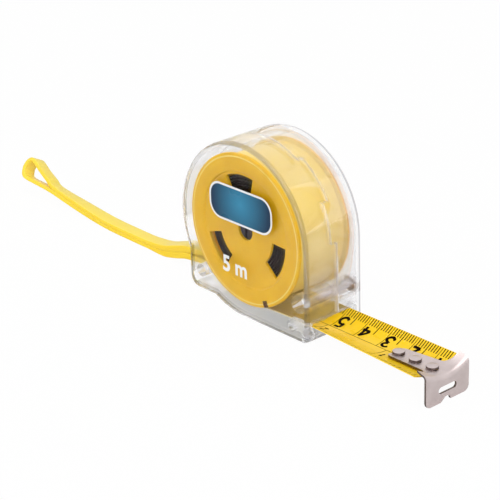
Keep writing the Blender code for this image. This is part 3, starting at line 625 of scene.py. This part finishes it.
# A strip along x with a curved section; each station is (x, low, sag).
def curvedStrip(stations, thickness):
    work = bmesh.new()
    bmesh.ops.create_grid(work, x_segments=len(stations) - 1, y_segments=bladeLook["across"], size=0.5)
    for vert in work.verts:
        x, low, sag = stations[round((vert.co.x + 0.5) * (len(stations) - 1))]
        share = 2 * vert.co.y
        bent = min(sag, bladeBend(x, share))
        vert.co = (x, share * bladeHalf(bent), low + thickness + bent * share**2)
    faceOut(work)
    if sum(face.normal.z for face in work.faces) < 0:
        bmesh.ops.reverse_faces(work, faces=work.faces)
    bmesh.ops.solidify(work, geom=work.faces[:], thickness=thickness)
    faceOut(work)
    return work


def makeBlade():
    low, sag, tail, flatten = (bladeLook[key] for key in ("low", "sag", "tail", "flatten"))
    mouth, split, tailSag = bladeLook["mouth"], bladeLook["split"], bladeLook["tailSag"]
    front = [(x, low, sag) for x in evenly(split, bladeLook["end"], bladeLook["frontSteps"])]
    work = curvedStrip(front, bladeLook["thickness"])
    piece = placePiece("bladeFront", work, "blade", [bladeYellow], bladeLook["sharpAngle"])
    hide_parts("blade")
    rear = list(bladeLook["tailEnd"])
    for share in evenly(0, 1, bladeLook["flattenSteps"]):
        bent = tailSag + (sag - tailSag) * math.sin(share * math.pi / 2)
        rear.append((tail + flatten * share, low + sag - bent, bent))
    places = evenly(tail + flatten, mouth, bladeLook["insideSteps"])[1:]
    places += evenly(mouth, split, bladeLook["outsideSteps"])[1:]
    rear += [(x, low, sag) for x in places]
    work = curvedStrip(rear, bladeLook["thickness"])
    for face in work.faces:  # painted shade: a darker khaki in the case, for the case's shade and veil over it
        spot = face.calc_center_median()
        face.material_index = 1 if spot.x < bladeLook["dull"] + bladeLook["dullBow"] * spot.y**2 else 0
    piece = placePiece("bladeRear", work, "blade", [bladeYellow, bladeInsideShade],
                       bladeLook["sharpAngle"])
    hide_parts("blade_tail")
    gatherRear(piece)


# Gives the piece its own copy of its mesh.
def gatherRear(piece):
    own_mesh(piece)


leadLook = {"start": 0.3, "long": 3.6, "high": 4.45, "sag": 0.7, "leastSag": 0.001, "thickness": 0.35,
            "steps": 8}


# The stretch that leaves the reel ends short of where the blade runs back to.
def makeLead():
    stations = []
    for share in evenly(0, 1, leadLook["steps"]):
        bent = leadLook["sag"] * share + leadLook["leastSag"]
        stations.append((leadLook["start"] + leadLook["long"] * share, leadLook["high"] - bent, bent))
    work = curvedStrip(stations, leadLook["thickness"])
    # painted shade: the lead takes the darker khaki of the blade inside the case
    piece = placePiece("bladeLead", work, "case", [bladeInsideShade], bladeLook["sharpAngle"])
    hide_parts("blade_lead")


scaleLook = {"zero": 76.99, "first": 5, "last": 68, "tickWidth": 0.34, "tick": 2.6, "midTick": 5.2,
             "lineWidth": 0.2, "lineSteps": 12, "edge": 0.1, "endGap": 0.3, "rearStart": 21.0, "markStep": 0.8,
             "flatHalf": 9.5, "inkLow": 0.004, "inkHigh": 0.02, "slices": 0.7, "stroke": 1.0,
             "sharpAngle": 40.0,
             "digitEnd": 6, "digitStep": 10.0, "digitHigh": 6.0, "digitMiddle": 3.7, "digitAway": 1.95,
             "inch": 25.4, "inchParts": 16, "inchFirst": 4, "inchLast": 36, "inchTick": 1.4, "inchHalf": 2.2,
             "inchEnd": 3, "inchHigh": 3.4, "inchMiddle": -4.1, "inchAway": 2.0}
figureBox = (0.6, 1.0)
# strokes of plain figures in that box; each point has 1 for an end, 0 for a bend or 2 for a corner
figureStrokes = {
    "1": [(0.10, 0.80, 1), (0.33, 1.0, 2), (0.33, 0.0, 1)],
    "2": [(0.04, 0.76, 0), (0.28, 1.0, 0), (0.54, 0.73, 0), (0.30, 0.36, 0), (0.03, 0.0, 2), (0.58, 0.0, 1)],
    "3": [(0.04, 0.85, 0), (0.27, 1.0, 0), (0.52, 0.77, 0), (0.24, 0.54, 2), (0.57, 0.27, 0), (0.27, 0.0, 0),
          (0.02, 0.17, 0)],
    "4": [(0.44, 0.0, 1), (0.44, 1.0, 2), (0.02, 0.30, 2), (0.62, 0.30, 1)],
    "5": [(0.54, 1.0, 1), (0.14, 1.0, 2), (0.08, 0.54, 2), (0.30, 0.64, 0), (0.57, 0.32, 0), (0.27, 0.0, 0),
          (0.02, 0.14, 0)],
}


def addMark(work, x, low, high, width):
    rows = max(2, math.ceil((high - low) / scaleLook["markStep"]))
    made = bmesh.ops.create_grid(work, x_segments=1, y_segments=rows, size=0.5)["verts"]
    bmesh.ops.scale(work, verts=made, vec=(width, high - low, 1))
    bmesh.ops.translate(work, verts=made, vec=(x, (low + high) / 2, 0))


# A figure as a flattened tube; z runs from -1 to 1 through its coat of ink.
def addFigure(work, word, high, x, y):
    stroke = scaleLook["stroke"] * high / scaleLook["digitHigh"]
    reach = high - stroke
    data = bpy.data.curves.new("figure" + word, "CURVE")
    data.dimensions, data.resolution_u, data.bevel_resolution = "3D", 8, 2
    data.bevel_depth, data.use_fill_caps = stroke / 2, True
    strokes = [[]]
    for spot in figureStrokes[word]:
        strokes[-1].append(spot)
        if spot[2] == 2:  # a new stroke starts at each corner, so that none is pinched there
            strokes.append([spot])
    for spots in strokes:
        spline = data.splines.new("BEZIER")
        spline.bezier_points.add(len(spots) - 1)
        for point, (across, up, corner) in zip(spline.bezier_points, spots):
            point.co = ((across - figureBox[0] / 2) * reach, (up - figureBox[1] / 2) * reach, 0)
            point.handle_left_type = point.handle_right_type = "VECTOR" if corner else "AUTO"
    holder = bpy.data.objects.new("figure" + word, data)
    collection.objects.link(holder)
    bpy.context.view_layer.update()
    mesh = bpy.data.meshes.new_from_object(holder)
    flat = Matrix.Diagonal((1, 1, 2 / stroke, 1))
    mesh.transform(Matrix.Translation((x, y, 0)) @ Matrix.Rotation(math.pi, 4, "Z") @ flat)
    work.from_mesh(mesh)
    bpy.data.objects.remove(holder)
    bpy.data.meshes.remove(mesh)


# Lays print that was set out flat on the blade's curve.
def layInk(work, middle, reach):
    half = scaleLook["flatHalf"]
    for step in range(1, math.floor(2 * half / scaleLook["slices"])):
        bmesh.ops.bisect_plane(work, geom=work.verts[:] + work.edges[:] + work.faces[:], dist=1e-5,
                               plane_co=(0, -half + step * scaleLook["slices"], 0), plane_no=(0, 1, 0))
    for vert in work.verts:
        x, y, z = vert.co
        y *= bladeHalf(bladeBend(x, y)) / half
        vert.co = (x, y, bladeTop(x, y) + middle + reach * z)


def makeScale():
    low, high, split = scaleLook["inkLow"], scaleLook["inkHigh"], bladeLook["split"]
    for name, first, last in (("scaleFront", split, bladeLook["end"] - scaleLook["endGap"]),
                              ("scaleRear", scaleLook["rearStart"], split)):
        work = bmesh.new()
        addMarkRow(work, first, last)
        layInk(work, high, 0.0)
        for face in work.faces:
            if face.normal.z < 0:
                face.normal_flip()
        bmesh.ops.solidify(work, geom=work.faces[:], thickness=high - low)
        figures = bmesh.new()
        addFigureRow(figures, first, last)
        layInk(figures, (low + high) / 2, (high - low) / 2)
        mesh = bpy.data.meshes.new("figures")
        figures.to_mesh(mesh)
        figures.free()
        work.from_mesh(mesh)
        bpy.data.meshes.remove(mesh)
        piece = placePiece(name, work, "blade", [ink], scaleLook["sharpAngle"])
        if name == "scaleRear":
            gatherRear(piece)


def addMarkRow(work, low, high):
    half = scaleLook["flatHalf"] - scaleLook["edge"]
    addMidline(work, low, high)
    for number in range(scaleLook["first"], scaleLook["last"]):
        x = scaleLook["zero"] - number
        if low <= x < high:
            whole = number % 10 == 0
            reach = half if whole else scaleLook["midTick"] if number % 5 == 0 else scaleLook["tick"]
            addMark(work, x, half - reach, half, scaleLook["lineWidth" if whole else "tickWidth"])
    for number in range(scaleLook["inchFirst"], scaleLook["inchLast"]):
        x = scaleLook["zero"] - number * scaleLook["inch"] / scaleLook["inchParts"]
        if low <= x < high:
            part = scaleLook["inchHalf"] if number % 4 == 0 else scaleLook["inchTick"]
            reach = half if number % scaleLook["inchParts"] == 0 else part
            addMark(work, x, -half, -half + reach, scaleLook["lineWidth"])


def addFigureRow(work, low, high):
    for end, step, away, middle, tall in (("digitEnd", "digitStep", "digitAway", "digitMiddle", "digitHigh"),
                                          ("inchEnd", "inch", "inchAway", "inchMiddle", "inchHigh")):
        for number in range(1, scaleLook[end]):
            x = scaleLook["zero"] - scaleLook[step] * number + scaleLook[away]
            if low <= x < high:
                addFigure(work, str(number), scaleLook[tall], x, scaleLook[middle])


def addMidline(work, low, high):
    half = scaleLook["lineWidth"] / 2
    places = evenly(low, high, scaleLook["lineSteps"])
    for x0, x1 in zip(places, places[1:]):
        addMark(work, (x0 + x1) / 2, -half, half, x1 - x0)


makeBlade()
makeLead()
makeScale()
print("blade and its scale made")

hookLook = {"bevel": 0.00012, "bevelAngle": 40.0, "sharpAngle": 34.0, "flatFrom": 72.95, "flatRun": 0.5,
            "flatShare": 0.25, "tabLow": -3.75, "tabHigh": 1.0, "tongueEnd": 70.0, "tongueRun": 5.0,
            "tongueShare": 0.25, "plateEnd": 72.5, "tabTop": -0.5}


def makeHook():
    work = solidCopy("hook", joinFlats=True)
    work.transform(toRow.inverted())
    bend = bladeLook["sag"] / bladeHalf(bladeLook["sag"])**2
    for vert in work.verts:
        # beyond the blade's end the plate is a little flatter than the blade
        out = rampShare(vert.co.x, hookLook["flatFrom"], hookLook["flatRun"])
        up = rampShare(vert.co.z, hookLook["tabLow"], hookLook["tabHigh"] - hookLook["tabLow"])
        vert.co.z -= hookLook["flatShare"] * out * up * bend * vert.co.y**2
        if vert.co.y > 0:
            # the tongue is narrower on its far side
            away = vert.co.y
            back = rampShare(vert.co.x, hookLook["tongueEnd"], -hookLook["tongueRun"])
            vert.co.y *= 1 - hookLook["tongueShare"] * back
            vert.co.z -= bend * (away**2 - vert.co.y**2)
    faceOut(work)
    for face in work.faces:  # painted shade: the sheet's sheared edges and sides are near-black, for the dark lines of shade along them
        spot, away = face.calc_center_median(), face.normal
        side = abs(away.y) > 0.8
        plateEdge = spot.x < hookLook["plateEnd"] and abs(away.z) < 0.5
        tabEdge = spot.z < hookLook["tabTop"] and abs(away.x) < 0.4
        face.material_index = 1 if side or plateEdge or tabEdge else 0
    piece = placePiece("endHook", work, "hook", [nickel, nickelEdgeShade], hookLook["sharpAngle"])
    addBevel(piece, hookLook["bevel"], hookLook["bevelAngle"])
    evenNormals(piece)
    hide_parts("hook")


rivetLook = {"places": (56.7, 63.6, 70.5), "headRadius": 1.95, "headHigh": 0.72, "stack": 1.3, "shank": 1.0,
             "tailRadius": 1.6, "tailGap": 0.15, "tailHigh": 0.4, "steps": 48, "sharpAngle": 40.0}


def makeRivets():
    head, tail, shank = (rivetLook[key] for key in ("headRadius", "tailRadius", "shank"))
    seat, neck = bladeLook["low"] + rivetLook["stack"], bladeLook["low"] - rivetLook["tailGap"]
    top, foot = seat + rivetLook["headHigh"], neck - rivetLook["tailHigh"]
    profile = [(0, foot), (tail - 0.1, foot), (tail, foot + 0.1), (tail, neck), (shank, neck), (shank, seat),
               (head - 0.06, seat), (head, seat + 0.06), (head, top - 0.16), (head - 0.05, top - 0.05),
               (head - 0.16, top), (0, top + 0.02)]
    for number, x in enumerate(rivetLook["places"], 1):
        work = spinLine([(radius, 0, z) for radius, z in profile], (0, 0, 1), rivetLook["steps"], closed=False)
        bmesh.ops.translate(work, verts=work.verts, vec=(x, 0, 0))
        for face in work.faces:  # painted shade: the flanks are near-black, for the dark shade round the heads
            face.material_index = 1 if abs(face.normal.z) < 0.5 else 0
        piece = placePiece("rivet%d" % number, work, "blade", [nickel, nickelEdgeShade],
                           rivetLook["sharpAngle"])
        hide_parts("hook_rivet_%d" % number)


makeHook()
makeRivets()
print("hook and rivets made")

strapLook = {"hub": (1.173, 7.677), "turn": 2.5, "thick": 1.37, "gap": 0.08, "ground": 0.03, "width": 4.96,
             "widen": 1.0, "widenFrom": 36.0, "widenRun": 20.0, "yaw": 4.37, "lean": 28.4, "leanStart": 55.0,
             "close": 16.0, "closeShare": 0.6, "dip": 27.5, "lift": 56.4, "open": 84.1, "openShare": 0.46,
             "reach": 100.5, "rise": 7.23, "half": 3.45, "corner": 2.62, "round": 0.0002, "rimAngle": 60.0,
             "swell": 0.95, "swellUp": (5.0, 12.0), "swellDown": (20.0, 18.0), "swellLift": 0.2,
             "perSpan": 6, "sharpAngle": 50.0}


# Extra thickness of each layer where the strap is moulded stouter, just behind the case.
def strapSwell(back):
    up, down = (rampShare(back, *strapLook[key]) for key in ("swellUp", "swellDown"))
    return strapLook["swell"] * up**2 * (3 - 2 * up) * (1 - down**2 * (3 - 2 * down))


# Height of the middle between the two layers where they lie on the ground.
def strapRest():
    return strapLook["thick"] + strapLook["gap"] / 2 + strapLook["ground"]


# The two strands from the boss to the eye: distance back, height of the middle between them,
# half their spread.
def strapStations():
    thick, close, dip, lift, opening = (strapLook[key] for key in ("thick", "close", "dip", "lift", "open"))
    high, rise, first = strapLook["hub"][1], strapLook["rise"], strapLook["openShare"]
    turn, pair, rest = strapLook["turn"] + thick / 2, (thick + strapLook["gap"]) / 2, strapRest()
    shut = high * strapLook["closeShare"]
    stations = [(0, high, turn),
                (close / 2, (high + shut) / 2 + 0.4, 0.3 * turn + 0.7 * pair),
                (close, shut + 0.8, pair + 0.05),
                ((close + dip) / 2, 0.45 * shut + 0.55 * rest + 0.7, pair),
                (dip, rest * 1.1 + 0.35, pair),
                ((3 * dip + lift) / 4, rest * 1.04 + 0.07, pair),
                ((dip + lift) / 2, rest, pair),
                (lift, rest * 1.1, pair),
                ((lift + opening) / 2, rest + rise * first * 0.45, pair)]
    end = strapLook["reach"] - thick / 2 - strapLook["corner"]
    for share in (0, 0.33, 0.66):
        stations.append((opening + (end - opening) * share, rest + rise * (first + (1 - first) * share),
                         pair + (strapLook["half"] - pair) * share**1.1))
    return [(back, middle + strapLook["swellLift"] * strapSwell(back), spread + strapSwell(back) / 2)
            for back, middle, spread in stations]


# Out along the upper strand, round the eye, back along the lower strand and round the boss.
def strapRoute(stations):
    high, turn = stations[0][1:]
    corner, eye = strapLook["corner"], strapRest() + strapLook["rise"]
    end, flat = strapLook["reach"] - strapLook["thick"] / 2 - corner, strapLook["half"] - corner
    upper = [(back, middle + spread) for back, middle, spread in stations]
    lower = [(back, middle - spread) for back, middle, spread in reversed(stations)]
    tip, boss = [], []
    for side, first in ((1, 0), (-1, 2)):
        for step in range(3):
            angle = math.pi / 4 * (first + step)
            tip.append((end + corner * math.sin(angle), eye + side * flat + corner * math.cos(angle)))
    for step in (1, 2, 3):
        angle = math.pi * (1 + step / 4)
        boss.append((turn * math.sin(angle), high + turn * math.cos(angle)))
    return [Vector(spot) for spot in upper + tip + lower + boss]


# Points along a smooth closed line through the given ones.
def smoothLoop(points, perSpan):
    made = []
    for number in range(len(points)):
        before, start, end, after = (points[(number + step) % len(points)] for step in (-1, 0, 1, 2))
        bow = 2 * before - 5 * start + 4 * end - after
        twist = 3 * start - before - 3 * end + after
        for step in range(perSpan):
            share = step / perSpan
            made.append(0.5 * (2 * start + (end - before) * share + bow * share**2 + twist * share**3))
    return made


# The four corners of the strap's section at one point of its line, leaning over towards the eye.
def strapSection(spot, along, stations):
    thick, reach, start = strapLook["thick"] + strapSwell(spot.x), strapLook["reach"], strapLook["leanStart"]
    line = stations + [(reach, strapRest() + strapLook["rise"], 0)]
    middle = line[0][1]
    for (back0, middle0, _), (back1, middle1, _) in zip(line, line[1:]):
        if spot.x >= back0:
            middle = middle0 + (middle1 - middle0) * min((spot.x - back0) / (back1 - back0), 1)
    share = rampShare(spot.x, start, reach - start)
    lean = math.radians(strapLook["lean"]) * share**2 * (3 - 2 * share)
    wider = strapLook["widen"] * rampShare(spot.x, strapLook["widenFrom"], -strapLook["widenRun"])
    half, slope = (strapLook["width"] + wider) / 2, math.tan(math.radians(strapLook["yaw"]))
    section = []
    for side, end in ((1, -1), (1, 1), (-1, 1), (-1, -1)):
        back, up = spot.x - side * along.y * thick / 2, spot.y + side * along.x * thick / 2 - middle
        across = end * half
        section.append(Vector((strapLook["hub"][0] - back,
                               across * math.cos(lean) + up * math.sin(lean) - max(back, 0) * slope,
                               middle + up * math.cos(lean) - across * math.sin(lean))) / 1000)
    return section


def makeStrap():
    stations = strapStations()
    path = smoothLoop(strapRoute(stations), strapLook["perSpan"])
    sections = []
    for number, spot in enumerate(path):
        along = (path[(number + 1) % len(path)] - path[number - 1]).normalized()
        sections.append(strapSection(spot, along, stations))
    work = bmesh.new()
    ring = [work.verts.new(corner) for corner in sections[0]]
    first = edges = [work.edges.new(pair) for pair in zip(ring, ring[1:] + ring[:1])]
    for section in sections[1:]:
        made = bmesh.ops.extrude_edge_only(work, edges=edges)["geom"]
        edges = [item for item in made if isinstance(item, bmesh.types.BMEdge)]
        moved = {vert for edge in edges for vert in edge.verts}
        grown = {edge.other_vert(vert): vert for vert in moved for edge in vert.link_edges}
        ring = [grown[vert] for vert in ring]
        for vert, corner in zip(ring, section):
            vert.co = corner
    bmesh.ops.bridge_loops(work, edges=first + edges)
    faceOut(work)
    rims = [edge for edge in work.edges if edge.calc_face_angle(0) > math.radians(strapLook["rimAngle"])]
    bmesh.ops.bevel(work, geom=rims, offset=strapLook["round"], offset_type="OFFSET", affect="EDGES",
                    segments=3, profile=0.5, material=-1, clamp_overlap=True)
    faceOut(work)
    for face in work.faces:  # painted sheen: the broad faces are a paler yellow for the light on them; the cut edges and the end of the eye are a deeper yellow
        face.material_index = 1 if abs(face.normal.y) > 0.7 or face.normal.x < -0.6 else 0
    piece = placePiece("wristStrap", work, "strap", [strapVinylSheen, strapCut],
                       strapLook["sharpAngle"], onTape=False)
    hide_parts("wrist_strap")


makeStrap()
print("strap made")

labelLook = {"middle": (0.4, 37.6), "half": (14.6, 6.2), "corner": 5.0, "border": 0.7, "face": -12.4,
             "lift": 0.006, "thick": 0.02, "lengthSize": 7.6, "lengthPlace": (-3.2, 16.2), "lengthBold": 0.028,
             "sharpAngle": 30.0}


# A flat plate with round corners, lying in x and y.
def addPlate(work, half, corner, thick):
    verts = bmesh.ops.create_grid(work, x_segments=1, y_segments=1, size=1.0)["verts"]
    bmesh.ops.scale(work, verts=verts, vec=(half[0], half[1], 1))
    bmesh.ops.bevel(work, geom=verts, offset=corner, offset_type="OFFSET", affect="VERTICES", segments=10,
                    profile=0.5, material=-1)
    grown = bmesh.ops.extrude_face_region(work, geom=work.faces[:])["geom"]
    raised = [item for item in grown if isinstance(item, bmesh.types.BMVert)]
    bmesh.ops.translate(work, verts=raised, vec=(0, 0, thick))
    faceOut(work)


# Turns a flat shape up and sets it on the near face of the case.
def standOnFace(work, middle, low):
    bmesh.ops.rotate(work, verts=work.verts, cent=(0, 0, 0), matrix=Matrix.Rotation(math.radians(90), 3, "X"))
    bmesh.ops.translate(work, verts=work.verts, vec=(middle[0], labelLook["face"] - low, middle[1]))


def makeLabel():
    halfX, halfZ = labelLook["half"]
    lift, thick = labelLook["lift"], labelLook["thick"]
    for name, inset, low, slotName, finish in (
            ("labelBorder", 0, lift, "reel_plastic", labelWhite),
            ("labelField", labelLook["border"], lift + thick, "dark_steel", labelBlue)):
        work = bmesh.new()
        addPlate(work, (halfX - inset, halfZ - inset), labelLook["corner"] - inset, thick)
        standOnFace(work, labelLook["middle"], low)
        placePiece(name, work, "case", [finish], labelLook["sharpAngle"])
    addLength()


# The blade's length in plain figures, in white on the near face.
def addLength():
    data = bpy.data.curves.new("length", "FONT")
    data.body, data.size, data.align_x, data.align_y = "5 m", labelLook["lengthSize"], "CENTER", "CENTER"
    data.offset, data.extrude = labelLook["lengthBold"] * data.size, labelLook["thick"] / 2
    holder = bpy.data.objects.new("length", data)
    collection.objects.link(holder)
    bpy.context.view_layer.update()
    mesh = bpy.data.meshes.new_from_object(holder)
    bpy.data.objects.remove(holder)
    work = bmesh.new()
    work.from_mesh(mesh)
    bpy.data.meshes.remove(mesh)
    bmesh.ops.remove_doubles(work, verts=work.verts, dist=1e-4)
    faceOut(work)
    standOnFace(work, labelLook["lengthPlace"], labelLook["lift"] + labelLook["thick"] / 2)
    placePiece("lengthFigure", work, "case", [labelWhite], labelLook["sharpAngle"])


makeLabel()
print("label made")
